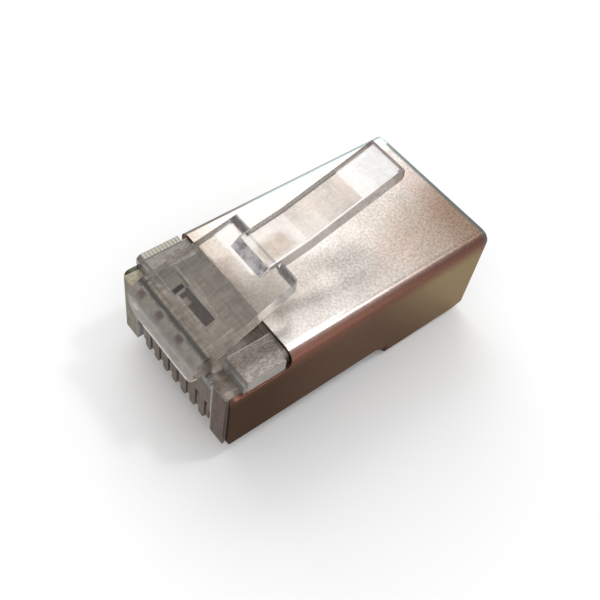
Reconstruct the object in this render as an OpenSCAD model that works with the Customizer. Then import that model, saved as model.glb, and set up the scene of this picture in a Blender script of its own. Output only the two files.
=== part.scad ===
// Shielded eight-way modular plug, as supplied, before a cable is fitted.
// X runs across the width, Y from the nose towards the cable entry, Z up through the latch.
// The origin is under the middle of the plug, level with the underside of the rear shell.

/* [Overall] */
// Length from the nose lip to the rear rim of the shell
plug_l = 22.6; // [21.5:0.1:24]
// Width across the shell
plug_w = 11.7; // [11.3:0.1:12.5]
// Height of the shell at the cable end
plug_h = 8.2; // [8:0.1:9]
// How far the latch root and its lip reach ahead of the contact face
lip_reach = 0.9; // [0.8:0.05:1.1]

/* [Shell] */
// Thickness of the shell sheet
sheet_t = 0.28; // [0.2:0.02:0.34]
// Outer bend radius along the top edges
top_bend_r = 0.75; // [0.6:0.05:1]
// Outer bend radius along the lower edges of the rear wrap
low_bend_r = 0.55; // [0.5:0.05:0.8]
// Clearance between the shell and the moulding inside it
shell_gap = 0.03; // [0.02:0.01:0.06]
// Height of the contact face above the underside of the rear wrap
nose_rise = 1.5; // [1.2:0.1:1.7]
// Distance from the contact face to the front edge of the top plate
top_plate_y = 4.6; // [4.4:0.1:5]
// Corner radius where the top plate meets the side bands
throat_r = 0.4; // [0.2:0.05:0.5]
// Distance from the top of the shell down to the side bands that run forward beside the nose
band_drop = 1.35; // [1.2:0.05:1.6]
// Distance from the contact face to the front edge of the side bands
band_y = 0.2; // [0.15:0.05:0.5]
// Radius of the front corners of the side bands
band_r = 0.4; // [0.2:0.05:0.6]
// Distance from the step down at the end of the side bands to the rear wrap
step_gap = 1.15; // [1:0.05:1.4]
// Length of the sloped edge at that step
step_l = 0.5; // [0.3:0.05:0.8]
// Drop of the sheet edge at that step
step_drop = 0.35; // [0.2:0.05:0.5]
// Length of the rear wrap
wrap_l = 7.6; // [7.2:0.1:7.8]
// Gap of the seam where the two wrap flaps meet
seam_w = 0.25; // [0.15:0.05:0.5]
// Length of the sloped heel under the rear rim
heel_l = 2.2; // [1.8:0.1:2.6]
// Rise of the sloped heel
heel_rise = 0.7; // [0.4:0.05:0.9]

/* [Nose] */
// Pitch of the contacts
pitch = 1.02; // [1.01:0.01:1.04]
// Number of contacts
ways = 8; // [8]
// Width of each contact slot
slot_w = 0.44; // [0.4:0.01:0.48]
// Height of the ribs between the slots
rib_h = 2.7; // [2.4:0.1:3]
// Width of the mouth between the two end walls of the slot row
mouth_w = 8.4; // [8:0.1:8.8]
// Height of that mouth above the contact face
mouth_h = 2; // [1.5:0.1:2.3]
// Room in each contact slot behind its blade
slot_room = 0.7; // [0.5:0.05:0.9]
// How far the ribs stop short of the contact face
rib_setback = 0.12; // [0.08:0.02:0.3]
// Distance from the belly slope of the moulding to the step of the side bands
belly_gap = 0.55; // [0.4:0.05:0.9]
// Length of the belly slope
belly_l = 0.9; // [0.7:0.1:1]
// Chamfer at the foot of the belly slope
belly_foot = 0.5; // [0.3:0.1:0.6]

/* [Shoulder pads] */
// Distance from the contact face to the front of the pads
pad_y = 1.1; // [1:0.05:1.4]
// Distance from the middle of the plug to the inner side of a pad
pad_in = 3.6; // [3.55:0.05:3.8]
// Step from the side face of the shell to the side face of a pad
pad_inset = 0.08; // [0.04:0.01:0.2]
// Chamfer at the front top edge of the pads
pad_chamfer = 0.25; // [0.1:0.05:0.4]
// Depth of the trough between the pads, below their tops
trough_d = 1.7; // [1.5:0.1:1.9]
// Gap between the pads and the edges of the shell
pad_gap = 0.05; // [0.03:0.01:0.1]

/* [Latch root] */
// Width of the latch root
root_w = 7; // [6.8:0.1:7.1]
// Radius of the rounded latch root
knuckle_r = 0.75; // [0.7:0.01:0.78]
// Running clearance round the latch root
knuckle_gap = 0.08; // [0.05:0.01:0.1]
// Height of the latch root axis above the top of the nose
hinge_rise = 1.15; // [1.1:0.05:1.3]
// How far the root lip reaches down over the contact face
lip_hang = 0.45; // [0.4:0.05:0.6]
// Corner radius of the root lip
lip_r = 1; // [0.8:0.1:1.2]
// How far the lip stays below the root axis
lip_drop = 0.35; // [0.3:0.05:0.4]
// Distance from the contact face to the back of the root lip
lip_back = 0.5; // [0.4:0.05:0.6]

/* [Latch] */
// Width of the tongue at its shoulders
tongue_w = 6.15; // [6:0.05:6.3]
// Thickness of the tongue
tongue_t = 1.1; // [1:0.05:1.15]
// Rise angle of the tongue
tongue_a = 18; // [18:0.5:20]
// Distance from the contact face to the shoulders
shoulder_y = 6.75; // [6.6:0.05:7]
// Distance from the contact face to the foot of the raised block
block_y = 5.2; // [5.1:0.05:5.5]
// Length of the sloped front of the raised block
block_run = 0.6; // [0.5:0.05:0.8]
// Height of the raised block above the tongue
block_h = 0.4; // [0.35:0.05:0.6]
// Width of the lever behind the shoulders
lever_w = 3; // [2.9:0.05:3.3]
// Thickness of the lever where it leaves the shoulders
lever_t = 1; // [0.9:0.05:1.1]
// Thickness of the lever at the thumb end
thumb_t = 0.95; // [0.9:0.05:1.2]
// Rise angle of the front part of the lever
lever_a = 10.5; // [9:0.5:12]
// Distance from the contact face to the bend in the lever
bend_y = 8.9; // [8.5:0.1:9.5]
// Rise angle of the thumb part of the lever
thumb_a = 17.5; // [16:0.5:20]
// Distance from the contact face to the thumb end of the lever
lever_end_y = 16; // [15.5:0.1:16.5]
// How far the underside of the thumb end reaches past its top edge
thumb_rake = 0.55; // [0.1:0.05:0.7]
// Corner radius of the thumb end
thumb_r = 0.5; // [0.3:0.05:0.7]

/* [Cable end] */
// Width of the cable entry
entry_w = 8.6; // [8:0.1:9]
// Height of the cable entry
entry_h = 5.4; // [5:0.1:5.5]
// Thickness of the moulding above the cable entry
entry_roof = 0.69; // [0.5:0.01:0.8]
// Distance from the rear rim of the shell to the rear face of the moulding
rear_inset = 0.45; // [0.3:0.05:0.8]
// Length of the tapered throat ahead of the cable entry
throat_l = 3.4; // [3:0.1:4]
// Height of the conductor chamber
chamber_h = 2.2; // [2:0.1:2.4]
// Length of the conductor chamber
chamber_l = 1.6; // [1.4:0.1:2]
// Distance from the end of the contact slots to the conductor chamber
guide_land = 1.85; // [1.6:0.05:2]
// Diameter of the conductor guide holes
guide_d = 0.9; // [0.85:0.01:0.94]
// Depth of the guide holes' axes below the floor of the trough
guide_drop = 1.39; // [1.2:0.01:1.6]
// Distance from the contact face to the closed end of the guide holes
guide_end_y = 1.1; // [1:0.1:1.3]

/* [Cable grip] */
// Width of the grip bar window
grip_w = 4.4; // [4:0.1:5]
// Length of the grip bar window
grip_l = 3.4; // [3.2:0.1:4]
// Distance from the grip bar window to the rear rim of the shell
grip_back = 2.9; // [2.6:0.1:3]
// Gap round the grip bar
grip_gap = 0.3; // [0.25:0.05:0.4]
// Thickness of the web that carries the grip bar
grip_web = 0.35; // [0.3:0.05:0.45]
// Length of the thinned web
web_l = 0.8; // [0.6:0.1:1]

/* [Contacts] */
// Thickness of each contact blade
blade_t = 0.35; // [0.3:0.01:0.36]
// Length of the contact blade
blade_l = 6.5; // [5.8:0.1:6.7]
// Height of the solid part of the blade
blade_h = 1.5; // [1.3:0.05:1.6]
// Radius of the rounded front corner of the blade
blade_r = 0.3; // [0.2:0.05:0.6]
// Height of the rubbing edge of the blade above the contact face
blade_lift = 0.2; // [0.15:0.05:0.35]
// Distance from the contact face to the front of the blade
blade_y = 0.2; // [0.15:0.05:0.6]
// Number of piercing tines on each blade
tines = 3; // [3]
// Width of each tine at its foot
tine_w = 0.9; // [0.8:0.05:1]
// Height of each tine above the solid part of the blade
tine_h = 1.15; // [1:0.05:1.2]
// Room above the tines
tine_room = 0.45; // [0.3:0.05:0.5]

/* [Hidden] */
$fn = 48;
over = 1;
clear_plastic = [0.86, 0.87, 0.84, 0.55];
nickel = [0.72, 0.66, 0.6];
gold = [0.85, 0.68, 0.3];

rim_y = plug_l - lip_reach;
wrap_y = rim_y - wrap_l;
step_y = wrap_y - step_gap;
belly_y = step_y - belly_gap;
grip_y = rim_y - grip_back - grip_l;
slot_l = blade_y + blade_l + slot_room;
core_gap = sheet_t + shell_gap;
core_w = plug_w - 2 * core_gap;
core_top = plug_h - core_gap;
core_low = core_gap;
face_z = nose_rise;
band_z = plug_h - band_drop;
band_h = band_z - face_z;
pad_out = plug_w / 2 - pad_inset;
trough_z = core_top - trough_d;
heel_y = rim_y - heel_l;
rear_y = rim_y - rear_inset;
rear_low = core_low + heel_rise * (rear_y - heel_y) / heel_l;
axis_y = knuckle_r - lip_reach;
axis_z = band_z + hinge_rise;
lip_low_z = band_z - lip_hang;
chamber_z = trough_z - guide_drop;
guide_y = slot_l + guide_land;
chamber_y = guide_y + chamber_l;
throat_y = chamber_y + throat_l;
entry_top = core_top - entry_roof;
entry_low = entry_top - entry_h;
rib_w = pitch - slot_w;
slots_w = ways * pitch - rib_w;
tongue_len = (shoulder_y - axis_y) / cos(tongue_a) + 2;
foot_z = axis_z + (block_y - axis_y) * tan(tongue_a) + knuckle_r / cos(tongue_a);
top_y = block_y + block_run;
top_z = foot_z + block_run * tan(tongue_a) + block_h;
bend_z = top_z + (bend_y - top_y) * tan(lever_a);
end_z = bend_z + (lever_end_y - bend_y) * tan(thumb_a);
lever_low_z = top_z + (shoulder_y - top_y) * tan(lever_a) - lever_t;
blade_z = face_z + blade_lift;

// Places everything that is measured from the contact face in the plug's own frame
module from_face() {
    translate([0, lip_reach - plug_l / 2, 0])
        children();
}

// Extrudes a side view, drawn in Y and Z, across the width w
module side_view(w) {
    rotate([90, 0, 90])
        linear_extrude(height = w, center = true)
            children();
}

// Extrudes an end view, drawn in X and Z, from y0 to y1
module end_view(y0, y1) {
    translate([0, y1, 0])
        rotate([90, 0, 0])
            linear_extrude(height = y1 - y0)
                children();
}

// Extrudes a plan view, drawn in X and Y, from z0 to z1
module plan_view(z0, z1) {
    translate([0, 0, z0])
        linear_extrude(height = z1 - z0)
            children();
}

// Upright rectangle with its own radii at the lower and upper corners
module round_panel(w, z0, z1, r_low, r_top) {
    union() {
        translate([-w / 2, z0 + r_low])
            square([w, z1 - z0 - r_low - r_top]);
        translate([-w / 2 + r_low, z0])
            square([w - 2 * r_low, r_low]);
        translate([-w / 2 + r_top, z1 - r_top])
            square([w - 2 * r_top, r_top]);
        for (side = [-1, 1]) {
            translate([side * (w / 2 - r_low), z0 + r_low])
                circle(r = r_low);
            translate([side * (w / 2 - r_top), z1 - r_top])
                circle(r = r_top);
        }
    }
}

// Upright rectangle with rounded top corners and a square foot
module arch_panel(w, z0, z1, r_top) {
    union() {
        translate([-w / 2, z0])
            square([w, z1 - z0 - r_top]);
        translate([-w / 2 + r_top, z1 - r_top])
            square([w - 2 * r_top, r_top]);
        for (side = [-1, 1])
            translate([side * (w / 2 - r_top), z1 - r_top])
                circle(r = r_top);
    }
}

// One rib between two contact slots, with its rounded lower edge
module rib(x) {
    end_view(rib_setback, slot_l)
        translate([x, face_z + rib_w / 2])
            union() {
                translate([-rib_w / 2, 0])
                    square([rib_w, rib_h]);
                circle(d = rib_w);
            }
}

// Outer form of the clear moulding before its slots and bores
module housing_body() {
    intersection() {
        side_view(core_w)
            polygon([[0, face_z], [belly_y, face_z], [belly_y + belly_l, core_low + belly_foot],
                     [belly_y + belly_l + belly_foot, core_low], [heel_y, core_low], [rear_y, rear_low],
                     [rear_y, core_top], [pad_y + pad_chamfer, core_top],
                     [pad_y, core_top - pad_chamfer], [pad_y, band_z], [0, band_z]]);
        end_view(-over, plug_l)
            round_panel(core_w, core_low, core_top, low_bend_r - core_gap, top_bend_r - core_gap);
    }
    side_view(2 * pad_out)
        polygon([[pad_y, band_z + pad_gap], [top_plate_y - throat_r, band_z + pad_gap],
                 [top_plate_y - throat_r, core_top], [pad_y + pad_chamfer, core_top],
                 [pad_y, core_top - pad_chamfer]]);
}

// Lip on the nose that carries the latch root
module root_lip() {
    end_view(-lip_reach, lip_back)
        intersection() {
            translate([-root_w / 2, lip_low_z])
                square([root_w, axis_z - lip_drop - lip_low_z]);
            round_panel(root_w, lip_low_z, axis_z + root_w, lip_r, lip_r);
        }
}

// Cable entry, throat, conductor chamber and the guide holes
module cable_bore() {
    side_view(entry_w)
        polygon([[rear_y + over, entry_low], [throat_y, entry_low],
                 [chamber_y, chamber_z - chamber_h / 2], [guide_y, chamber_z - chamber_h / 2],
                 [guide_y, chamber_z + chamber_h / 2], [chamber_y, chamber_z + chamber_h / 2],
                 [throat_y, entry_top], [rear_y + over, entry_top]]);
    for (i = [0 : ways - 1])
        translate([(i - (ways - 1) / 2) * pitch, guide_end_y, chamber_z])
            rotate([-90, 0, 0])
                cylinder(d = guide_d, h = guide_y - guide_end_y + over, $fn = 24);
}

// Narrow cuts above the blades, from the contact slots into the guide holes
module blade_cuts() {
    for (i = [0 : ways - 1])
        translate([(i - (ways - 1) / 2) * pitch - slot_w / 2, guide_end_y, blade_z + blade_h])
            cube([slot_w, slot_l - guide_end_y, tine_h + tine_room]);
}

// Gap round three sides of the grip bar, and the relief that thins its web
module grip_gap_cut() {
    floor_t = entry_low - core_low;
    translate([-grip_w / 2, grip_y, core_low - over])
        difference() {
            cube([grip_w, grip_l, floor_t + 2 * over]);
            translate([grip_gap, grip_gap, -over])
                cube([grip_w - 2 * grip_gap, grip_l, floor_t + 4 * over]);
        }
    translate([-grip_w / 2, grip_y + grip_l - web_l, core_low + grip_web])
        cube([grip_w, web_l, floor_t + over]);
}

module housing() {
    color(clear_plastic)
        from_face()
            difference() {
                union() {
                    difference() {
                        union() {
                            housing_body();
                            root_lip();
                        }
                        // Room for the whole row of slots and ribs
                        translate([-slots_w / 2, -over, face_z - over])
                            cube([slots_w, slot_l + over, rib_h + over]);
                        // Wider mouth between the end walls
                        translate([-mouth_w / 2, -over, face_z - over])
                            cube([mouth_w, slot_l + over, mouth_h + over]);
                    }
                    for (i = [1 : ways - 1])
                        rib((i - ways / 2) * pitch);
                }
                // Trough between the pads, under the tongue
                translate([-pad_in, lip_back + pad_y, trough_z])
                    cube([2 * pad_in, top_plate_y - pad_y, trough_d + over]);
                translate([-pad_in, lip_back, band_z])
                    cube([2 * pad_in, top_plate_y, trough_d + over]);
                // Seat of the latch root
                translate([0, axis_y, axis_z])
                    rotate([0, 90, 0])
                        cylinder(r = knuckle_r + knuckle_gap, h = plug_w, center = true);
                cable_bore();
                blade_cuts();
                grip_gap_cut();
            }
}

// Tongue, tapered in plan, with its rounded root
module tongue() {
    intersection() {
        translate([0, axis_y, axis_z])
            union() {
                rotate([0, 90, 0])
                    cylinder(r = knuckle_r, h = root_w, center = true);
                rotate([tongue_a, 0, 0])
                    translate([-root_w / 2, 0, knuckle_r - tongue_t])
                        cube([root_w, tongue_len, tongue_t]);
            }
        plan_view(axis_z - over, axis_z + plug_h)
            polygon([[-root_w / 2, -lip_reach], [root_w / 2, -lip_reach], [root_w / 2, 0],
                     [tongue_w / 2, shoulder_y], [-tongue_w / 2, shoulder_y], [-root_w / 2, 0]]);
    }
}

// Lever with its raised block, from the shoulders back to the rounded thumb end
module lever() {
    half = lever_w / 2;
    tip_y = lever_end_y + thumb_rake;
    intersection() {
        side_view(lever_w)
            polygon([[block_y, foot_z - 0.3], [block_y, foot_z], [top_y, top_z], [bend_y, bend_z],
                     [lever_end_y, end_z], [tip_y, end_z - thumb_t], [bend_y, bend_z - lever_t],
                     [shoulder_y, lever_low_z], [top_y, foot_z - 0.3]]);
        plan_view(axis_z, axis_z + plug_h)
            union() {
                translate([-half, 0])
                    square([lever_w, tip_y - thumb_r]);
                translate([thumb_r - half, 0])
                    square([lever_w - 2 * thumb_r, tip_y]);
                for (side = [-1, 1])
                    translate([side * (half - thumb_r), tip_y - thumb_r])
                        circle(r = thumb_r);
            }
    }
}

module latch() {
    color(clear_plastic)
        from_face() {
            tongue();
            lever();
        }
}

// Rear box of the shell, or its inner form when inset is the sheet thickness
module wrap_form(inset, extra) {
    intersection() {
        end_view(wrap_y - extra, rim_y + extra)
            round_panel(plug_w - 2 * inset, inset, plug_h - inset, low_bend_r - inset, top_bend_r - inset);
        side_view(plug_w + over)
            polygon([[wrap_y - extra, inset], [heel_y, inset],
                     [rim_y + extra, inset + heel_rise * (heel_l + extra) / heel_l],
                     [rim_y + extra, plug_h], [wrap_y - extra, plug_h]]);
    }
}

// Inverted trough of the top plate and side bands, or its inner form
module trough_form(inset, extra) {
    end_view(band_y - extra, wrap_y + over)
        arch_panel(plug_w - 2 * inset, face_z - step_drop - extra, plug_h - inset, top_bend_r - inset);
}

// Opening of the shell over the nose, down to the side bands, with a rounded inner corner
module nose_opening() {
    open_l = top_plate_y - band_y + over;
    side_view(plug_w + over)
        translate([band_y - over, band_z])
            union() {
                square([open_l - throat_r, plug_h]);
                translate([0, throat_r])
                    square([open_l, plug_h]);
                translate([open_l - throat_r, throat_r])
                    circle(r = throat_r);
            }
}

// What the rounded front corners leave open in front of the side bands
module band_corners() {
    side_view(plug_w + over)
        difference() {
            translate([band_y - over, face_z - over])
                square([over + band_r, band_h + 2 * over]);
            translate([band_y, face_z + band_r])
                square([band_r + over, band_h - 2 * band_r]);
            for (z = [face_z + band_r, band_z - band_r])
                translate([band_y + band_r, z])
                    circle(r = band_r);
        }
}

// One sheet: top plate, two side bands and the wrap under the cable end
module shield() {
    color(nickel)
        from_face()
            difference() {
                union() {
                    difference() {
                        trough_form(0, 0);
                        trough_form(sheet_t, over);
                    }
                    difference() {
                        wrap_form(0, 0);
                        wrap_form(sheet_t, over);
                    }
                }
                nose_opening();
                band_corners();
                // Lower edge of the side bands, with the step down to the wrap
                side_view(plug_w + over)
                    polygon([[band_y - over, -over], [band_y - over, face_z], [step_y, face_z],
                             [step_y + step_l, face_z - step_drop], [wrap_y, face_z - step_drop],
                             [wrap_y, -over]]);
                // Seam between the wrap flaps, and the window over the grip bar
                translate([-seam_w / 2, wrap_y - over, -over])
                    cube([seam_w, plug_l, heel_rise + 2 * over]);
                translate([-grip_w / 2, grip_y, -over])
                    cube([grip_w, grip_l, 2 * over]);
            }
}

// One gold-plated blade: a rubbing edge with a rounded front, and tines that point into the guide hole
module contact(n) {
    step = (blade_l - tine_w) / (tines - 1);
    color(gold)
        from_face()
            translate([(n - (ways + 1) / 2) * pitch, 0, 0])
                side_view(blade_t)
                    translate([blade_y, blade_z])
                        union() {
                            translate([blade_r, 0])
                                square([blade_l - blade_r, blade_h]);
                            translate([0, blade_r])
                                square([blade_r, blade_h - blade_r]);
                            translate([blade_r, blade_r])
                                circle(r = blade_r);
                            for (i = [0 : tines - 1])
                                translate([i * step, blade_h])
                                    polygon([[0, 0], [tine_w, 0], [tine_w * 0.65, tine_h * 0.75],
                                             [tine_w / 2, tine_h], [tine_w * 0.35, tine_h * 0.75]]);
                        }
}

housing();
latch();
shield();
contact(1);  // contact_1
contact(2);  // contact_2
contact(3);  // contact_3
contact(4);  // contact_4
contact(5);  // contact_5
contact(6);  // contact_6
contact(7);  // contact_7
contact(8);  // contact_8
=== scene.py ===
# %% [markdown]
# # A shielded modular plug in clear plastic and nickel
# The plug is shown as it is supplied, before a cable is fitted. The solids of the CAD part are
# imported first, and every piece is drawn in their frame: X across the width, Y from the nose to
# the cable entry, Z up through the latch, in metres.

# %% Start and import
import bpy
import bmesh
import math
from mathutils import Matrix, Vector


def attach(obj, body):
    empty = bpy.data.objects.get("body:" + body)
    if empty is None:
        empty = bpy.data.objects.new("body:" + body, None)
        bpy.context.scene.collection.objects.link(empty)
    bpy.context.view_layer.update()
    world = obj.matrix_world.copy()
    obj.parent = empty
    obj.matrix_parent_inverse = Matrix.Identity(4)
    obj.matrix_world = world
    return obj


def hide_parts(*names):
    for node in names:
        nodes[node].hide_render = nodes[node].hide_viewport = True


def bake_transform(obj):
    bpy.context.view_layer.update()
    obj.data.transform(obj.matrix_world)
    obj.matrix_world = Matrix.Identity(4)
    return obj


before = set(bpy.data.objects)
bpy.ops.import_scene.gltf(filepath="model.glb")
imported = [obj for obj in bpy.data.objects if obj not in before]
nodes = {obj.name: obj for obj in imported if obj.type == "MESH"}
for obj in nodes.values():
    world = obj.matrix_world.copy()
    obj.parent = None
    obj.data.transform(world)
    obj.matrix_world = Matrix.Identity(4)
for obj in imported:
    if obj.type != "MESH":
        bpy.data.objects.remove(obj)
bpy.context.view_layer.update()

# %% [markdown]
# ## The camera
# A camera can be placed by eye, but the edges of the plug then never quite meet those in the
# photograph. This one was fitted to them by least squares. It looks down at 53 degrees from the
# right of the nose, rolled by 11 degrees, from about 63 mm away. Its matrix is built from these
# angles, because aiming it at a target alone would lose the roll.

# %% Camera
CAM_AZIMUTH = 42.506
CAM_ELEVATION = 53.217
CAM_ROLL = 11.157
CAM_DISTANCE = 0.063348
CAM_TARGET = Vector((-0.000515, 0.00079, 0.0015))
CAM_LENS = 53.105
SENSOR_WIDTH = 36
CLIP_START = 0.001

azimuth = math.radians(CAM_AZIMUTH)
elevation = math.radians(CAM_ELEVATION)
roll = math.radians(CAM_ROLL)
back = Vector((math.sin(azimuth) * math.cos(elevation),
               -math.cos(azimuth) * math.cos(elevation), math.sin(elevation)))
level = Vector((0, 0, 1)).cross(back).normalized()
upright = back.cross(level)
right = math.cos(roll) * level + math.sin(roll) * upright
up = math.cos(roll) * upright - math.sin(roll) * level
turn = Matrix((right, up, back)).transposed().to_4x4()
camera_data = bpy.data.cameras.new("photo_camera")
camera_data.lens = CAM_LENS
camera_data.sensor_width = SENSOR_WIDTH
camera_data.clip_start = CLIP_START
camera = bpy.data.objects.new("photo_camera", camera_data)
bpy.context.scene.collection.objects.link(camera)
camera.matrix_world = Matrix.Translation(CAM_TARGET + back * CAM_DISTANCE) @ turn
bpy.context.scene.camera = camera
print("camera at", [round(1000 * v, 1) for v in camera.matrix_world.translation], "mm")

# %% [markdown]
# ## Welded copies of the CAD solids
# The CAD solids have the exact shapes, but their edges are knife sharp and their flat faces are
# cut into triangles. They could be drawn again by hand. A copy is quicker and keeps every size:
# it is worked on in millimetres, its corners are welded, and its flat faces are joined, so that
# the edges between them can be rounded.

# %% Copies
MM = 0.001
WELD = 0.0005
FLAT_ANGLE = math.radians(0.4)


def as_object(name, bm):
    """Turns a bmesh into an object of the scene and frees it."""
    mesh = bpy.data.meshes.new(name)
    bm.to_mesh(mesh)
    bm.free()
    obj = bpy.data.objects.new(name, mesh)
    bpy.context.scene.collection.objects.link(obj)
    return obj


def join_flats(bm, weld):
    """Welds corners closer than a distance and joins the faces that lie in one plane."""
    bmesh.ops.remove_doubles(bm, verts=bm.verts, dist=weld)
    bmesh.ops.dissolve_limit(bm, angle_limit=FLAT_ANGLE, verts=bm.verts, edges=bm.edges)


def cad_copy(node, name):
    """A welded copy of a CAD solid, in millimetres."""
    bm = bmesh.new()
    bm.from_mesh(nodes[node].data)
    bm.transform(Matrix.Scale(1 / MM, 4))
    join_flats(bm, WELD)
    obj = as_object(name, bm)
    print(name, "copied with", len(obj.data.polygons), "faces")
    return obj


# %% [markdown]
# ## Joining pieces
# Two closed meshes are joined with a boolean. It is applied at once, so that later steps see one
# plain mesh, and the slivers that it leaves in flat faces are joined again.

# %% Joining
CUT_WELD = 0.001


def baked(obj):
    """Replaces an object's mesh by the result of its modifiers."""
    graph = bpy.context.evaluated_depsgraph_get()
    mesh = bpy.data.meshes.new_from_object(obj.evaluated_get(graph), depsgraph=graph)
    obj.modifiers.clear()
    old = obj.data
    obj.data = mesh
    bpy.data.meshes.remove(old)


def prism(name, outline, low, high):
    """A straight prism along X. The outline is a list of (Y, Z)."""
    bm = bmesh.new()
    rings = [[bm.verts.new((x, *point)) for point in outline] for x in (low, high)]
    for ring in rings:
        bm.faces.new(ring)
    for i in range(len(outline)):
        j = (i + 1) % len(outline)
        bm.faces.new((rings[0][i], rings[0][j], rings[1][j], rings[1][i]))
    bmesh.ops.recalc_face_normals(bm, faces=bm.faces)
    return as_object(name, bm)


def join(obj, other):
    """Joins another closed mesh to an object and removes the other."""
    step = obj.modifiers.new("join", "BOOLEAN")
    step.operation = "UNION"
    step.solver = "EXACT"
    step.object = other
    baked(obj)
    bpy.data.objects.remove(other)


# %% [markdown]
# ## Rounding edges and shading
# No moulded or stamped edge is perfectly sharp, and the thin line of light on a rounded edge is
# what makes a small part look real. A bevel with weights rounds only the edges that are chosen.
# Weighted normals then keep the large faces flat while the narrow rounds are shaded smooth.

# %% Rounding and shading
SHARP_ANGLE = math.radians(28)
SMOOTH_ANGLE = math.radians(32)
FACE_WEIGHT = 90


def round_edges(obj, width, segments, keep=lambda middle: True):
    """Rounds the sharp edges whose middle passes the test."""
    bm = bmesh.new()
    bm.from_mesh(obj.data)
    bm.normal_update()
    weight = bm.edges.layers.float.new("bevel_weight_edge")
    count = 0
    for e in bm.edges:
        if len(e.link_faces) == 2 and e.calc_face_angle(0) > SHARP_ANGLE:
            if keep((e.verts[0].co + e.verts[1].co) / 2):
                e[weight] = 1.0
                count += 1
    bm.to_mesh(obj.data)
    bm.free()
    step = obj.modifiers.new("round", "BEVEL")
    step.limit_method = "WEIGHT"
    step.width = width
    step.segments = segments
    baked(obj)
    print(obj.name, "edges rounded:", count, "faces:", len(obj.data.polygons))


def smooth(obj):
    """Smooth shading up to an angle, with the large flat faces kept flat."""
    obj.data.shade_smooth()
    obj.data.set_sharp_from_angle(angle=SMOOTH_ANGLE)
    step = obj.modifiers.new("flat", "WEIGHTED_NORMAL")
    step.keep_sharp = True
    step.weight = FACE_WEIGHT
    baked(obj)


# %% [markdown]
# ## Stored places
# A material can read the object's own coordinates, but those follow the mesh when the latch
# bends, and the pattern would slide off it. So each vertex stores its place at rest, and the
# materials read that.

# %% Places at rest
def keep_places(obj, unit=1.0):
    """Stores each vertex's place at rest in millimetres, for the materials to read."""
    places = obj.data.attributes.new("rest_place", "FLOAT_VECTOR", "POINT")
    for vertex, item in zip(obj.data.vertices, places.data):
        item.vector = vertex.co * unit
    return obj


def to_metres(obj):
    """Stores the places, and brings a mesh worked on in millimetres back to metres."""
    keep_places(obj)
    obj.data.transform(Matrix.Scale(MM, 4))
    obj.data.update()


# %% [markdown]
# ## The clear moulding
# Body and latch are one moulding on the real plug, joined by a thin root that bends. The CAD
# has two solids with a running gap between them, because the latch moves. A prism fills the gap
# here, and all three are joined, so that the clear plastic has no seam. Only its outer edges
# get the small radius of a moulded part: rounding the hidden slots would cost faces for nothing.

# %% Clear moulding
ROOT_OUTLINE = [(-11.3, 7.15), (-9.98, 7.15), (-9.9, 7.6), (-9.7, 7.95), (-10.2, 8.3),
                (-10.9, 8.3), (-11.3, 8.0)]
ROOT_HALF = 3.46
MOULD_RADIUS = 0.07
FAR = 99

# The hollow parts, each as half its width, its front and rear, its bottom and top, in mm.
HOLLOWS = {"entry": (4.5, -3.2, FAR, 1.6, 7.4),
           "slots": (4.2, -FAR, -2.8, 1.9, 4.6),
           "core": (4.5, -9.35, 4.0, 3.2, 6.1)}


def outer_edge(p):
    """True on the outside of the moulding, away from its hollow parts."""
    return not any(abs(p.x) < half and front < p.y < rear and bottom < p.z < top
                   for half, front, rear, bottom, top in HOLLOWS.values())


clear = cad_copy("housing", "clear_moulding")
latch = cad_copy("latch", "latch_copy")
join(latch, prism("root", ROOT_OUTLINE, -ROOT_HALF, ROOT_HALF))
join(clear, latch)
bm = bmesh.new()
bm.from_mesh(clear.data)
join_flats(bm, CUT_WELD)
bm.to_mesh(clear.data)
bm.free()
round_edges(clear, MOULD_RADIUS, 3, outer_edge)
smooth(clear)
to_metres(clear)

# %% [markdown]
# ## The folded shell
# The shell is one sheet, folded round the body. The CAD already has its bends and its cut
# edges, so nothing is drawn again here. The cut edges are broken by a tiny radius, as stamping
# and plating leave them.

# %% Shell
SHEET_RADIUS = 0.05

shell = cad_copy("shield", "shell_sheet")
round_edges(shell, SHEET_RADIUS, 2)
smooth(shell)
to_metres(shell)

# %% [markdown]
# ## The contact blades
# Eight stamped blades stand in the slots of the nose, with their tines towards the guide holes.
# They are seen only between the ribs, so one segment on each edge is enough to catch the light.

# %% Contacts
BLADES = 8
BLADE_RADIUS = 0.03

blades = []
for n in range(1, BLADES + 1):
    blade = cad_copy("contact_%d" % n, "blade_%d" % n)
    round_edges(blade, BLADE_RADIUS, 1)
    smooth(blade)
    to_metres(blade)
    blades.append(blade)
print("blades:", len(blades))

# %% [markdown]
# ## Tools for materials
# A material is a chain of nodes. Every pattern here comes from noise and from the place on the
# part, so it needs no pictures and no unwrapping. Written out node by node, such a chain is
# long, so a small class adds the nodes. Its most used tool is the zone: a mask that is 1 inside
# a box on the part and fades to 0 over a soft edge.

# %% Material tools
# The Mix node keeps its inputs and its result in other sockets for each kind of data.
MIX_SOCKETS = {"FLOAT": (2, 3, 0), "VECTOR": (4, 5, 1), "RGBA": (6, 7, 2)}


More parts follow.
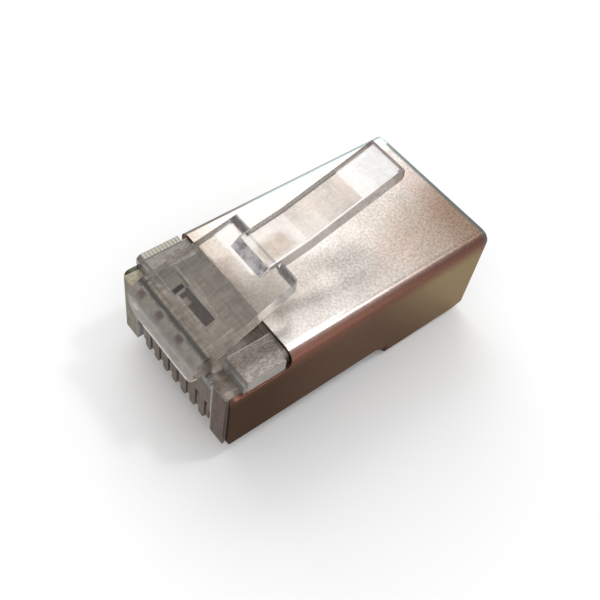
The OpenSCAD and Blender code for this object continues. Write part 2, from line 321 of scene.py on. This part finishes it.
class Shader:
    """A short way to write a material's nodes. Its axes are places at rest, in millimetres."""

    def __init__(self, name):
        self.material = bpy.data.materials.new(name)
        self.material.use_nodes = True
        self.tree = self.material.node_tree
        self.tree.nodes.clear()
        place = self.add("ShaderNodeAttribute", attribute_name="rest_place")
        self.at = place.outputs["Vector"]
        split = self.add("ShaderNodeSeparateXYZ", {0: self.at})
        self.axes = {axis.lower(): split.outputs[axis] for axis in "XYZ"}
        self.axes["across"] = self.math("ABSOLUTE", self.axes["x"])

    def add(self, kind, inputs=(), **settings):
        """Adds a node. An input is another node's output, a constant, or None to leave it."""
        node = self.tree.nodes.new(kind)
        node.location = (len(self.tree.nodes) * 190, 0)
        for key, value in settings.items():
            setattr(node, key, value)
        for socket, value in dict(inputs).items():
            if isinstance(value, bpy.types.NodeSocket):
                self.tree.links.new(value, node.inputs[socket])
            elif value is not None:
                node.inputs[socket].default_value = value
        return node

    def math(self, operation, a, b=None):
        """One sum of numbers or outputs."""
        return self.add("ShaderNodeMath", {0: a, 1: b}, operation=operation).outputs[0]

    def mix(self, kind, factor, a, b, blend="MIX"):
        """Mixes two numbers, two vectors or two colours."""
        first, second, result = MIX_SOCKETS[kind]
        node = self.add("ShaderNodeMix", {0: factor, first: a, second: b},
                        data_type=kind, blend_type=blend)
        return node.outputs[result]

    def blend(self, factor, a, b, kind="MIX"):
        """Mixes two colours, given as (r, g, b) or outputs."""
        a, b = ((*v, 1) if isinstance(v, tuple) else v for v in (a, b))
        return self.mix("RGBA", factor, a, b, kind)

    def over(self, under, mask, amount, colour):
        """Lays a colour over another where the mask is 1, as thick as the amount."""
        return self.blend(self.math("MULTIPLY", mask, amount), under, colour)

    def ramp(self, value, low, high, to_low=0.0, to_high=1.0):
        """A soft step of a value between two limits."""
        return self.add("ShaderNodeMapRange",
                        {"Value": value, "From Min": low, "From Max": high,
                         "To Min": to_low, "To Max": to_high},
                        interpolation_type="SMOOTHSTEP").outputs["Result"]

    def noise(self, scale, detail=3.0, rough=0.5, stretch=None):
        """A noise value about 0.5, with features of about 1/scale millimetres."""
        at = self.at
        if stretch:
            at = self.add("ShaderNodeVectorMath", {0: at, 1: stretch},
                          operation="MULTIPLY").outputs[0]
        return self.add("ShaderNodeTexNoise",
                        {"Vector": at, "Scale": scale, "Detail": detail,
                         "Roughness": rough}).outputs["Fac"]

    def zone(self, soft, **spans):
        """1 inside a box and 0 outside. A span is an axis=(low, high); None leaves a side open."""
        total = None
        for axis, (low, high) in spans.items():
            for edge, sign in ((low, 1), (high, -1)):
                if edge is not None:
                    step = self.ramp(self.axes[axis], edge - sign * soft, edge + sign * soft)
                    total = step if total is None else self.math("MULTIPLY", total, step)
        return total

    def either(self, *masks):
        """The larger of several masks."""
        total = masks[0]
        for mask in masks[1:]:
            total = self.math("MAXIMUM", total, mask)
        return total

    def relief(self, height, distance, strength, normal=None):
        """Surface relief of a height pattern. The distance is in metres."""
        node = self.add("ShaderNodeBump", {"Height": height, "Strength": strength,
                                           "Distance": distance, "Normal": normal})
        return node.outputs["Normal"]

    def finish(self, inputs):
        """The surface shader and the output."""
        surface = self.add("ShaderNodeBsdfPrincipled", inputs)
        self.add("ShaderNodeOutputMaterial", {"Surface": surface.outputs[0]})
        print(self.material.name, "has", len(self.tree.nodes), "nodes")
        return self.material


# %% [markdown]
# ## The clear plastic
# Polycarbonate is as clear as glass, but in the photograph it is full of browns and greys: it
# mirrors a dark room, and its far faces and the contacts are seen through it. A bare glass
# shader over a white floor would show little of that. So coats of tone are laid over places of
# the moulding, and many of them are painted reflections, painted highlights and painted shade.
# Each coat has a pale and a dull tone, mixed by a pattern, and says how clear the plastic stays
# under it. The patterns come first.

# %% Patterns in the plastic
TONGUE_SLOPE = 0.3249

s = Shader("clear_polycarbonate")
y, z = s.axes["y"], s.axes["z"]
# The slope axis is the height above a plane that rises like the tongue, which is the same
# all along the tongue.
s.axes["slope"] = s.math("SUBTRACT", z, s.math("MULTIPLY", y, TONGUE_SLOPE))

cloud = s.noise(0.6, 2)
mottle = s.ramp(s.noise(2.0, 4, 0.65), 0.36, 0.64)
speck = s.ramp(s.noise(1.0, 3, 0.65, stretch=(11.0, 5.0, 5.0)), 0.36, 0.64)
facets = s.math("MULTIPLY", s.noise(1.0, 2, 0.5, stretch=(1.0, 4.5, 1.0)),
                s.noise(1.0, 2, 0.5, stretch=(4.5, 1.0, 1.0)))
facets = s.ramp(facets, 0.15, 0.35)
stripes = s.ramp(s.math("PINGPONG", y, 0.125), 0.03, 0.095)

layers = {"tint": s.blend(cloud, (0.84, 0.82, 0.79), (0.92, 0.91, 0.88)), "clear": 0.95}
masks = {}


def coat(name, mask, amount, pale, dull, clear, pattern=mottle):
    """Lays one coat over the plastic where the mask is 1, and keeps the mask by its name.

    The amount is how thick the coat is, and clear is how clear the plastic stays under it.
    Both go from 0 to 1. The pattern mixes the dull and the pale tone."""
    masks[name] = mask
    amount = s.math("MULTIPLY", mask, amount)
    layers["tint"] = s.blend(amount, layers["tint"], s.blend(pattern, dull, pale))
    layers["clear"] = s.mix("FLOAT", amount, layers["clear"], clear)


# %% [markdown]
# ## The top of the latch
# The thumb rest is moulded with fine wrinkles and the raised block behind the tongue is satin,
# so both look paler than the polished plastic between them. The front right of the satin block
# is browner. The right edge of the lever carries a painted white highlight, its side is a warm
# grey, and the tongue has one painted white glare at its left shoulder.

# %% Coats on the latch
coat("middle", s.zone(0.1, y=(-1.6, 2.5), z=(11.3, None)),
     0.85, (0.76, 0.745, 0.725), (0.64, 0.62, 0.6), 0.95)
coat("satin", s.zone(0.03, y=(-4.5, -1.6), z=(10.9, None), x=(-1.15, 1.3)),
     0.9, (0.92, 0.9, 0.87), (0.82, 0.79, 0.75), 0.4)
# the front right of the satin block is darker and browner
coat("satin_front_brown", s.zone(0.4, y=(-4.6, -2.3), z=(10.9, None), x=(-0.2, 1.3)),
     0.9, (0.62, 0.52, 0.44), (0.46, 0.38, 0.31), 0.5)
coat("thumb", s.zone(0.1, y=(2.5, 5.42), z=(12.4, None), x=(-1.2, 1.36)),
     0.95, (1.0, 0.99, 0.98), (0.93, 0.92, 0.9), 0.2)
coat("end_strip", s.zone(0.03, y=(5.42, None), z=(12.8, None)),
     0.9, (0.46, 0.37, 0.36), (0.36, 0.28, 0.275), 0.5)
coat("side_face", s.zone(0.015, x=(1.48, None), y=(-3.6, None), z=(10.2, None)),
     0.8, (0.88, 0.81, 0.755), (0.74, 0.675, 0.62), 0.6)
# painted highlight: a white line along the right edge of the lever
coat("side_highlight", s.zone(0.015, x=(1.35, 1.46), y=(-4.5, 5.2), z=(11.0, None)),
     0.9, (1.0, 0.98, 0.97), (0.95, 0.93, 0.92), 0.1)
# painted highlight: a white glare at the left shoulder of the tongue
coat("glare", s.either(s.zone(0.08, x=(-2.85, -1.5), y=(-5.5, -4.3), z=(10.0, None)),
                       s.zone(0.12, x=(-2.7, 1.0), y=(-5.42, -5.2), z=(10.0, None))),
     0.85, (1.0, 1.0, 1.0), (0.97, 0.97, 0.97), 0.2)
print("coats so far:", len(masks))

# %% [markdown]
# ## The nose
# The faces of the nose mirror the dark side of the room in the photograph, so they are painted
# as the darkest parts, a painted reflection: brown on the ribs and the right wall, olive on the
# left, grey-brown on the plate and the knuckle. The ledges and the floor of the trough behind
# the root face upwards and are painted paler, as painted light. A painted white highlight runs
# along the lower edge of the lip.

# %% Coats on the nose
LEDGE_SKIN = (6.75, 6.95)

# painted reflection: the ribs and both walls of the nose are painted dark
coat("ribs", s.zone(0.1, y=(None, -9.9), z=(None, 6.3), across=(None, 4.15)),
     0.93, (0.17, 0.125, 0.098), (0.11, 0.078, 0.06), 0.2)
coat("right_wall", s.zone(0.1, y=(None, -10.2), z=(None, 6.9), x=(4.2, None)),
     0.95, (0.13, 0.078, 0.063), (0.09, 0.052, 0.043), 0.2)
coat("left_wall", s.zone(0.1, y=(None, -10.2), z=(None, 6.9), x=(None, -4.2)),
     0.92, (0.24, 0.21, 0.145), (0.155, 0.135, 0.09), 0.2)
# painted light: the ledges face upwards and are painted paler
coat("ledge", s.zone(0.05, y=(-10.3, -9.25), z=LEDGE_SKIN, across=(3.5, None)),
     0.85, (0.4, 0.31, 0.24), (0.15, 0.105, 0.085), 0.4)
coat("left_ledge", s.zone(0.05, x=(None, -4.3), y=(-10.45, -9.35), z=LEDGE_SKIN),
     0.9, (0.5, 0.45, 0.3), (0.32, 0.27, 0.15), 0.35)
# painted reflection and shade: the plate and the knuckle are painted grey-brown
coat("plate", s.zone(0.15, y=(None, -10.6), z=(6.5, None)),
     0.87, (0.44, 0.36, 0.28), (0.31, 0.25, 0.185), 0.6)
coat("knuckle", s.zone(0.08, y=(None, -10.72), z=(7.9, None)),
     0.9, (0.36, 0.33, 0.29), (0.28, 0.25, 0.22), 0.35)
# painted light: the floor of the trough faces upwards and is painted paler
coat("trough_floor", s.zone(0.05, y=(-9.9, -5.0), z=(6.1, 6.95), across=(None, 3.58)),
     0.85, (0.85, 0.76, 0.64), (0.48, 0.4, 0.33), 0.35)
# painted highlight: a white line along the lower edge of the lip
coat("lip_highlight", s.zone(0.03, y=(None, -11.15), z=(None, 6.62), x=(-1.9, None)),
     0.9, (0.95, 0.9, 0.88), (0.8, 0.74, 0.72), 0.2)
print("coats so far:", len(masks))

# %% [markdown]
# ## What shows through the tongue
# Under the front of the tongue the photograph shows a window with a thin line, a dark pocket
# with a black corner, and bright lines between them. How deep they lie can't be told through
# the plastic, so they aren't modelled. They are painted on the underside of the tongue, where
# the clear top face refracts them as it would the real ones. The dark of the pocket and its
# black corner are painted shade, and the bright lines are painted highlights. The back of the
# root is painted dark and opaque, as painted shade. Three brown blobs lie on the root.

# %% Coats at the root and under the tongue
UNDERSIDE = (10.9, 11.25)
BLOB_HALF = 0.3


def under(soft, **spans):
    """A zone on the underside of the tongue."""
    return s.zone(soft, **spans, slope=UNDERSIDE)


coat("front_tongue", s.zone(0.15, y=(-10.6, -6.1), slope=(11.9, None)),
     0.8, (0.84, 0.8, 0.73), (0.74, 0.68, 0.61), 0.99)
# painted shade: the back of the root is dark and opaque
coat("root_back_shade", s.zone(0.03, across=(None, 3.5), y=(-10.0, -9.6), z=(6.95, 8.0)),
     1.0, (0.2, 0.17, 0.14), (0.14, 0.115, 0.095), 0.0)
coat("blobs", s.either(*[s.zone(0.18, x=(middle - BLOB_HALF, middle + BLOB_HALF),
                                y=(-11.1, -10.6), z=(8.3, None))
                         for middle in (-2.6, -0.68, 1.35)]),
     0.85, (0.11, 0.07, 0.065), (0.07, 0.045, 0.04), 0.3)
coat("under_tongue", under(0.1, across=(None, 3.45), y=(-9.9, -6.1)),
     0.65, (0.95, 0.86, 0.74), (0.44, 0.365, 0.29), 0.5, facets)
coat("window", under(0.04, x=(-3.45, -1.85), y=(-9.05, -8.2)),
     0.85, (0.5, 0.46, 0.41), (0.4, 0.37, 0.32), 0.35)
coat("window_line", under(0.02, x=(-2.96, -2.88), y=(-9.05, -8.2)),
     0.8, (0.2, 0.18, 0.16), (0.15, 0.13, 0.11), 0.2)
# painted shade: the dark pocket under the tongue
coat("pocket", under(0.04, x=(-1.42, 1.5), y=(-8.94, -8.22)),
     0.97, (0.09, 0.068, 0.052), (0.06, 0.045, 0.035), 0.1)
# painted shadow: the black corner of the pocket
coat("pocket_black_shadow", under(0.02, x=(-1.88, -1.53), y=(-9.08, -8.38)),
     1.0, (0.002, 0.002, 0.001), (0.001, 0.001, 0.001), 0.0)
coat("pocket_patch", s.either(under(0.03, x=(-1.5, -1.3), y=(-9.05, -8.45)),
                              under(0.05, x=(-0.95, -0.35), y=(-8.95, -8.65))),
     0.9, (0.55, 0.5, 0.45), (0.42, 0.37, 0.32), 0.2)
# painted highlights: the bright lines around the pocket
coat("pocket_highlights", s.either(under(0.025, x=(-3.1, 1.5), y=(-8.07, -7.93)),
                              under(0.02, x=(-3.5, -1.95), y=(-9.17, -9.08)),
                              under(0.04, x=(-1.3, 1.3), y=(-9.1, -9.0)),
                              under(0.05, x=(2.58, 2.76), y=(-9.6, -7.8))),
     0.85, (0.9, 0.85, 0.8), (0.5, 0.45, 0.42), 0.3, facets)
# painted shade: a dark line in the pocket
coat("pocket_dark_shade", under(0.02, x=(-2.65, -1.4), y=(-8.2, -8.1)),
     0.9, (0.07, 0.06, 0.05), (0.05, 0.04, 0.03), 0.1)
print("coats so far:", len(masks))

# %% [markdown]
# ## The pads beside the latch
# The tops of the two pads are rough and speckled. The left one has a fine knurl along its outer
# edge, about 0.25 mm from stripe to stripe. Cut into the mesh it would be hundreds of tiny
# faces for a detail two pixels wide, so it is a striped coat.

# %% Coats on the pads
PAD_SKIN = (7.78, 8.2)
PAD_Y = (-9.2, None)

coat("pad_top", s.zone(0.03, across=(3.65, 5.74), y=PAD_Y, z=PAD_SKIN),
     0.9, (0.38, 0.32, 0.27), (0.16, 0.12, 0.1), 0.5, speck)
coat("pad_right", s.zone(0.05, x=(3.65, 5.74), y=PAD_Y, z=PAD_SKIN),
     0.9, (0.52, 0.44, 0.38), (0.2, 0.15, 0.125), 0.45, speck)
coat("pad_rim", s.zone(0.15, x=(4.85, 5.74), y=(-9.0, None), z=PAD_SKIN),
     0.8, (0.85, 0.76, 0.69), (0.36, 0.29, 0.25), 0.45, speck)
coat("pad_spots", s.either(s.zone(0.12, x=(-4.75, -4.15), y=(-7.9, -7.4), z=PAD_SKIN),
                           s.zone(0.12, x=(-4.85, -4.4), y=(-7.1, -6.7), z=PAD_SKIN)),
     0.7, (0.13, 0.09, 0.07), (0.08, 0.055, 0.045), 0.3)
coat("knurl", s.zone(0.03, x=(-5.74, -5.28), y=PAD_Y, z=PAD_SKIN),
     0.9, (0.75, 0.71, 0.6), (0.4, 0.37, 0.29), 0.3, stripes)
coat("knurl_edge", s.zone(0.03, x=(-5.24, -5.16), y=PAD_Y, z=PAD_SKIN),
     0.85, (0.12, 0.1, 0.07), (0.09, 0.07, 0.05), 0.2)
coat("pad_side", s.zone(0.03, across=(5.74, None), z=(6.9, None)),
     0.8, (0.55, 0.5, 0.43), (0.42, 0.37, 0.32), 0.5)
# painted shade: the front faces of the pads are dark
coat("pad_face_shade", s.zone(0.03, across=(3.6, None), y=(-9.34, -9.0), z=(6.9, 7.9)),
     0.85, (0.25, 0.21, 0.18), (0.12, 0.1, 0.09), 0.4)
print("coats so far:", len(masks))

# %% [markdown]
# ## The steep faces of the latch
# Faces seen at a low angle mirror more and let less through. The front of the raised block, the
# backs of the shoulders and the left side and end of the lever are painted dark for that reason,
# as a painted reflection.

# %% Coats on the steep faces
# painted reflection: the four steep faces below are painted dark
coat("block_face", s.zone(0.02, across=(None, 1.47), y=(-5.2, -4.62), z=(10.5, 11.15)),
     0.95, (0.38, 0.36, 0.38), (0.1, 0.09, 0.1), 0.2)
coat("shoulder", s.zone(0.03, across=(1.53, None), y=(-3.75, -3.5), z=(9.0, None)),
     0.95, (0.5, 0.44, 0.45), (0.16, 0.12, 0.13), 0.15)
coat("lever_left", s.zone(0.02, x=(None, -1.45), y=(-3.6, None), z=(10.0, None)),
     0.9, (0.26, 0.2, 0.21), (0.2, 0.15, 0.16), 0.4)
coat("lever_end", s.zone(0.03, y=(5.65, None), z=(12.5, None)),
     0.9, (0.34, 0.25, 0.25), (0.24, 0.18, 0.18), 0.35)
print("coats in all:", *masks)

# %% [markdown]
# ## Gloss and relief of the plastic
# Polished plastic has faint drawn lines, the thumb rest is crinkled, and the pads are rubbed.
# These are far too fine for geometry, so they are bumps. The dark coats also mirror less,
# or the pale surroundings of this scene would wash them out.

# %% Gloss and relief
IOR_POLYCARBONATE = 1.58
GLOSS, MATT, DEAD = 0.5, 0.2, 0.0

rough = s.ramp(cloud, 0.3, 0.7, 0.02, 0.06)
for name, more in (("thumb", 0.3), ("satin", 0.22), ("pad_top", 0.3), ("plate", 0.08)):
    rough = s.math("ADD", rough, s.math("MULTIPLY", masks[name], more))

drawn = s.relief(s.noise(1.0, 2, 0.5, stretch=(0.5, 9.0, 4.0)), 0.00003, 0.35)
crinkled = s.relief(s.noise(3.2, 4, 0.6), 0.00014, 0.6)
rubbed = s.relief(s.noise(9, 2), 0.00008, 0.7)
normal = s.mix("VECTOR", masks["thumb"], drawn, crinkled)
normal = s.mix("VECTOR", masks["pad_top"], normal, rubbed)

matt = ("left_ledge", "plate", "lever_left", "lever_end", "pad_side", "front_tongue")
dead = ("right_wall", "left_wall", "ribs", "root_back_shade", "pocket_black_shadow", "pocket")
sheen = s.mix("FLOAT", s.either(*[masks[name] for name in matt]), GLOSS, MATT)
sheen = s.mix("FLOAT", s.either(*[masks[name] for name in dead]), sheen, DEAD)
plastic = s.finish({"Base Color": layers["tint"], "Roughness": rough, "Normal": normal,
                    "Specular IOR Level": sheen, "Transmission Weight": layers["clear"],
                    "IOR": IOR_POLYCARBONATE})

# %% [markdown]
# ## The nickel sheet: top plate
# Nickel plate is a warm grey metal with a fine grain. On the top plate the photograph shows the
# room in it: pale in the middle, coppery towards the rear right, white at the rear left. A
# metal shader mirrors only what the scene holds, and this one holds a white floor and two
# lamps, so these slow changes are painted into its colour as painted reflections. Painted shade
# darkens the rear edge and the left, and painted light lifts the lever's shadow on the right.

# %% Top plate
s = Shader("satin_nickel")
x, y, z = (s.axes[axis] for axis in "xyz")
grain = s.noise(5.5, 3, 0.8)
patch = s.noise(0.45, 3, 0.55)
warm = s.noise(0.22, 2)

top = s.blend(s.ramp(patch, 0.3, 0.72), (0.62, 0.58, 0.54), (0.73, 0.695, 0.66))
top = s.over(top, s.ramp(warm, 0.45, 0.65), 0.35, (0.66, 0.47, 0.4))
# painted reflection: darker and browner towards the rear right
rear_right_reflection = s.math("MULTIPLY", s.ramp(y, -0.5, 10.0), s.ramp(x, -3.0, 3.0))
top = s.over(top, rear_right_reflection, 0.85, (0.34, 0.25, 0.19))
# painted reflection: darker towards the front left
front_left_reflection = s.math("MULTIPLY", s.ramp(y, -3.0, -6.0), s.ramp(x, -1.0, -4.5))
top = s.over(top, front_left_reflection, 0.8, (0.4, 0.33, 0.27))
# painted shade along the rear edge
rear_edge_shade = s.math("MULTIPLY", s.ramp(y, 8.0, 11.2), s.ramp(x, -2.0, 2.5))
top = s.over(top, rear_edge_shade, 0.6, (0.24, 0.145, 0.09))
# painted light beside the lever, painted shade on the left, painted white reflection at the rear
# left
for mask, amount, colour in (
        (s.zone(0.9, x=(1.8, 4.0), y=(-1.2, 2.6)), 0.8, (0.9, 0.86, 0.82)),
        (s.zone(0.7, x=(-3.9, -2.3), y=(-7.0, 1.6)), 0.65, (0.5, 0.46, 0.43)),
        (s.zone(0.4, x=(None, -4.3), y=(5.2, None)), 0.7, (0.95, 0.98, 0.99))):
    top = s.over(top, mask, amount, colour)
print("nodes in the top plate:", len(s.tree.nodes))

# %% [markdown]
# ## The nickel sheet: sides, bends and grain
# The sides are painted dark as a painted reflection: dark copper at the front turning to olive
# at the rear, along a slanting line, and redder on the bend above them. The grain of the plate
# shows as light and dark flecks, weaker on the sides, and as a slight relief.

# %% Sides, bends and grain
SLANT = 0.7

wall = s.ramp(s.axes["across"], 5.0, 5.75)
# painted reflection: the sides and the bend are painted dark
side = s.blend(s.ramp(y, -9.0, 0.0), (0.066, 0.042, 0.033), (0.15, 0.1, 0.077))
slanting = s.math("ADD", y, s.math("MULTIPLY", z, SLANT))
side = s.blend(s.ramp(slanting, 5.0, 11.5), side, (0.285, 0.23, 0.14))
bend = s.blend(s.ramp(y, -5.0, 10.0), (0.26, 0.12, 0.088), (0.165, 0.08, 0.065))
side = s.blend(s.ramp(z, 6.0, 7.85), side, bend)
base = s.blend(wall, top, side)

flecks = s.blend(s.ramp(grain, 0.38, 0.62), (0.8, 0.785, 0.77), (1.17, 1.17, 1.17))
flecks = s.over(flecks, wall, 0.55, (1.0, 1.0, 1.0))
base = s.blend(1.0, base, flecks, "MULTIPLY")
rough = s.ramp(grain, 0.3, 0.7, 0.28, 0.38)
normal = s.relief(grain, 0.00002, 0.25)
normal = s.relief(patch, 0.00025, 0.12, normal)
print("nodes with the sides:", len(s.tree.nodes))

# %% [markdown]
# ## The nickel sheet: edges
# A sheet's cut edges and bends catch narrow reflections, and here these are painted into the
# colour: a painted white glint on the front of the right bend, painted shade on the front cut
# edge, a painted dark reflection along the rear, painted teal reflections along the left and
# the rear left, a painted orange highlight on the top edge of the right band and painted shade
# on that of the left. They are only tenths of a millimetre wide, so each is a thin zone of its
# own.

# %% Edges of the sheet
# painted highlight: a white glint on the front of the right bend
glint = s.zone(0.1, x=(5.02, 5.36), z=(7.9, None))
base = s.over(base, glint, s.ramp(y, 1.0, -3.5), (1.0, 0.97, 0.95))
# painted shade darkens the front cut edge
front_cut_shade = s.zone(0.015, y=(None, -5.77), z=(7.5, None))
# painted reflection: teal along the left bend
left_bend_reflection = s.zone(0.04, x=(None, -5.35), z=(8.0, None))
teal_reflection = s.blend(s.ramp(y, -3.5, 2.5), (0.12, 0.16, 0.16), (0.36, 0.56, 0.57))
# painted reflections: teal at the rear left corner, dark teal along the rear rim
rim_corner_reflection = s.zone(0.04, x=(None, -4.5), y=(11.14, None), z=(7.0, None))
rear_rim_reflection = s.zone(0.09, x=(-4.6, None), y=(11.02, None), z=(7.0, None))
# painted highlight: orange on the top edge of the right band
right_cut_highlight = s.zone(0.02, x=(5.5, None), y=(None, -6.0), z=(6.83, 6.9))
# painted shade: dark on the top edge of the left band
left_cut_shade = s.zone(0.02, x=(None, -5.5), y=(None, -6.0), z=(6.5, 6.9))
for mask, amount, colour in ((front_cut_shade, 0.9, (0.07, 0.045, 0.035)),
                             (left_bend_reflection, 0.9, teal_reflection),
                             (rim_corner_reflection, 0.9, (0.38, 0.5, 0.5)),
                             (rear_rim_reflection, 0.85, (0.12, 0.15, 0.15)),
                             (right_cut_highlight, 0.8, (0.34, 0.16, 0.115)),
                             (left_cut_shade, 0.9, (0.06, 0.07, 0.05))):
    base = s.over(base, mask, amount, colour)
graze = s.blend(wall, (0.9, 0.85, 0.8), (0.68, 0.58, 0.52))
nickel = s.finish({"Base Color": base, "Roughness": rough, "Normal": normal,
                   "Specular Tint": graze, "Metallic": 1.0})

# %% [markdown]
# ## The gold blades
# The blades are gold plated, with slightly worn patches. In the photograph no gold shows between
# the ribs, because the nose mirrors a dark room, so the fronts of the blades are toned brown.

# %% Gold
s = Shader("gold_plate")
grain = s.noise(12, 3)
wear = s.ramp(s.noise(2.5, 3), 0.4, 0.7)
base = s.blend(wear, (0.83, 0.6, 0.22), (0.92, 0.72, 0.34))
# painted shade: the fronts of the blades are toned a dark brown
base = s.blend(s.zone(0.03, y=(None, -10.1)), base, (0.17, 0.12, 0.075))
rough = s.ramp(grain, 0.3, 0.7, 0.18, 0.32)
normal = s.relief(grain, 0.00001, 0.3)
gold = s.finish({"Base Color": base, "Roughness": rough, "Normal": normal, "Metallic": 1.0})

# %% [markdown]
# ## Putting the pieces in the frame
# The shell and the blades ride on the body. The clear moulding could be cut in two where it
# bends, but a cut in clear plastic shows. So it is one piece, like the real moulding.

# %% Pieces and bodies
finishes = [(clear, plastic, "clear_plastic"), (shell, nickel, "nickel_shell")]
finishes += [(blade, gold, "gold_contacts") for blade in blades]
for obj, material, slot_name in finishes:
    obj.data.materials.clear()
    obj.data.materials.append(material)
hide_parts("housing", "latch")
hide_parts("shield")
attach(shell, "plug")
for n, blade in enumerate(blades, 1):
    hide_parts("contact_%d" % n)
    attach(blade, "plug")
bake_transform(clear)
print("pieces:", len(finishes))

# %% [markdown]
# ## The floor
# The photograph has a white ground without a horizon. A plain white background would do, but a
# floor also takes the soft shadow that holds the plug down. It lies a hair below the plug, so
# that the two faces don't flicker through each other.

# %% Floor
FLOOR_HALF = 0.6
FLOOR_Z = -0.00001

bm = bmesh.new()
bm.faces.new([bm.verts.new((side_x * FLOOR_HALF, side_y * FLOOR_HALF, FLOOR_Z))
              for side_x, side_y in ((-1, -1), (1, -1), (1, 1), (-1, 1))])
floor = keep_places(as_object("studio_floor", bm), 1 / MM)
s = Shader("white_floor")
white = s.blend(s.noise(0.02, 2), (0.93, 0.93, 0.93), (0.95, 0.95, 0.95))
floor.data.materials.append(s.finish({"Base Color": white, "Roughness": 0.9}))

# %% [markdown]
# ## Light and surroundings
# A large soft lamp at the back left lights the top plate and casts the shadow to the front
# right. A small one overhead puts the narrow highlight on the right bend. The pale surroundings
# keep the shadows open, and the Standard view keeps the whites white.

# %% Light
SKY = 0.82


def lamp(name, place, target, size, power):
    """A square soft lamp. place and target are in metres."""
    data = bpy.data.lights.new(name, "AREA")
    data.shape = "SQUARE"
    data.size = size
    data.energy = power
    obj = bpy.data.objects.new(name, data)
    bpy.context.scene.collection.objects.link(obj)
    obj.location = place
    obj.rotation_euler = (Vector(target) - Vector(place)).to_track_quat("-Z", "Y").to_euler()
    print(name, "lamp", round(obj.location.length, 2), "m away")


lamp("key", (-0.42, 0.14, 0.32), (0, 0, 0.004), 0.5, 1.35)
lamp("edge", (0.11, 0.21, 0.44), (0, 0, 0.004), 0.06, 0.3)

world = bpy.data.worlds.new("studio")
bpy.context.scene.world = world
world.use_nodes = True
background = world.node_tree.nodes["Background"]
background.inputs["Color"].default_value = (SKY, SKY, SKY, 1)
background.inputs["Strength"].default_value = 1.0

bpy.context.scene.view_settings.view_transform = "Standard"
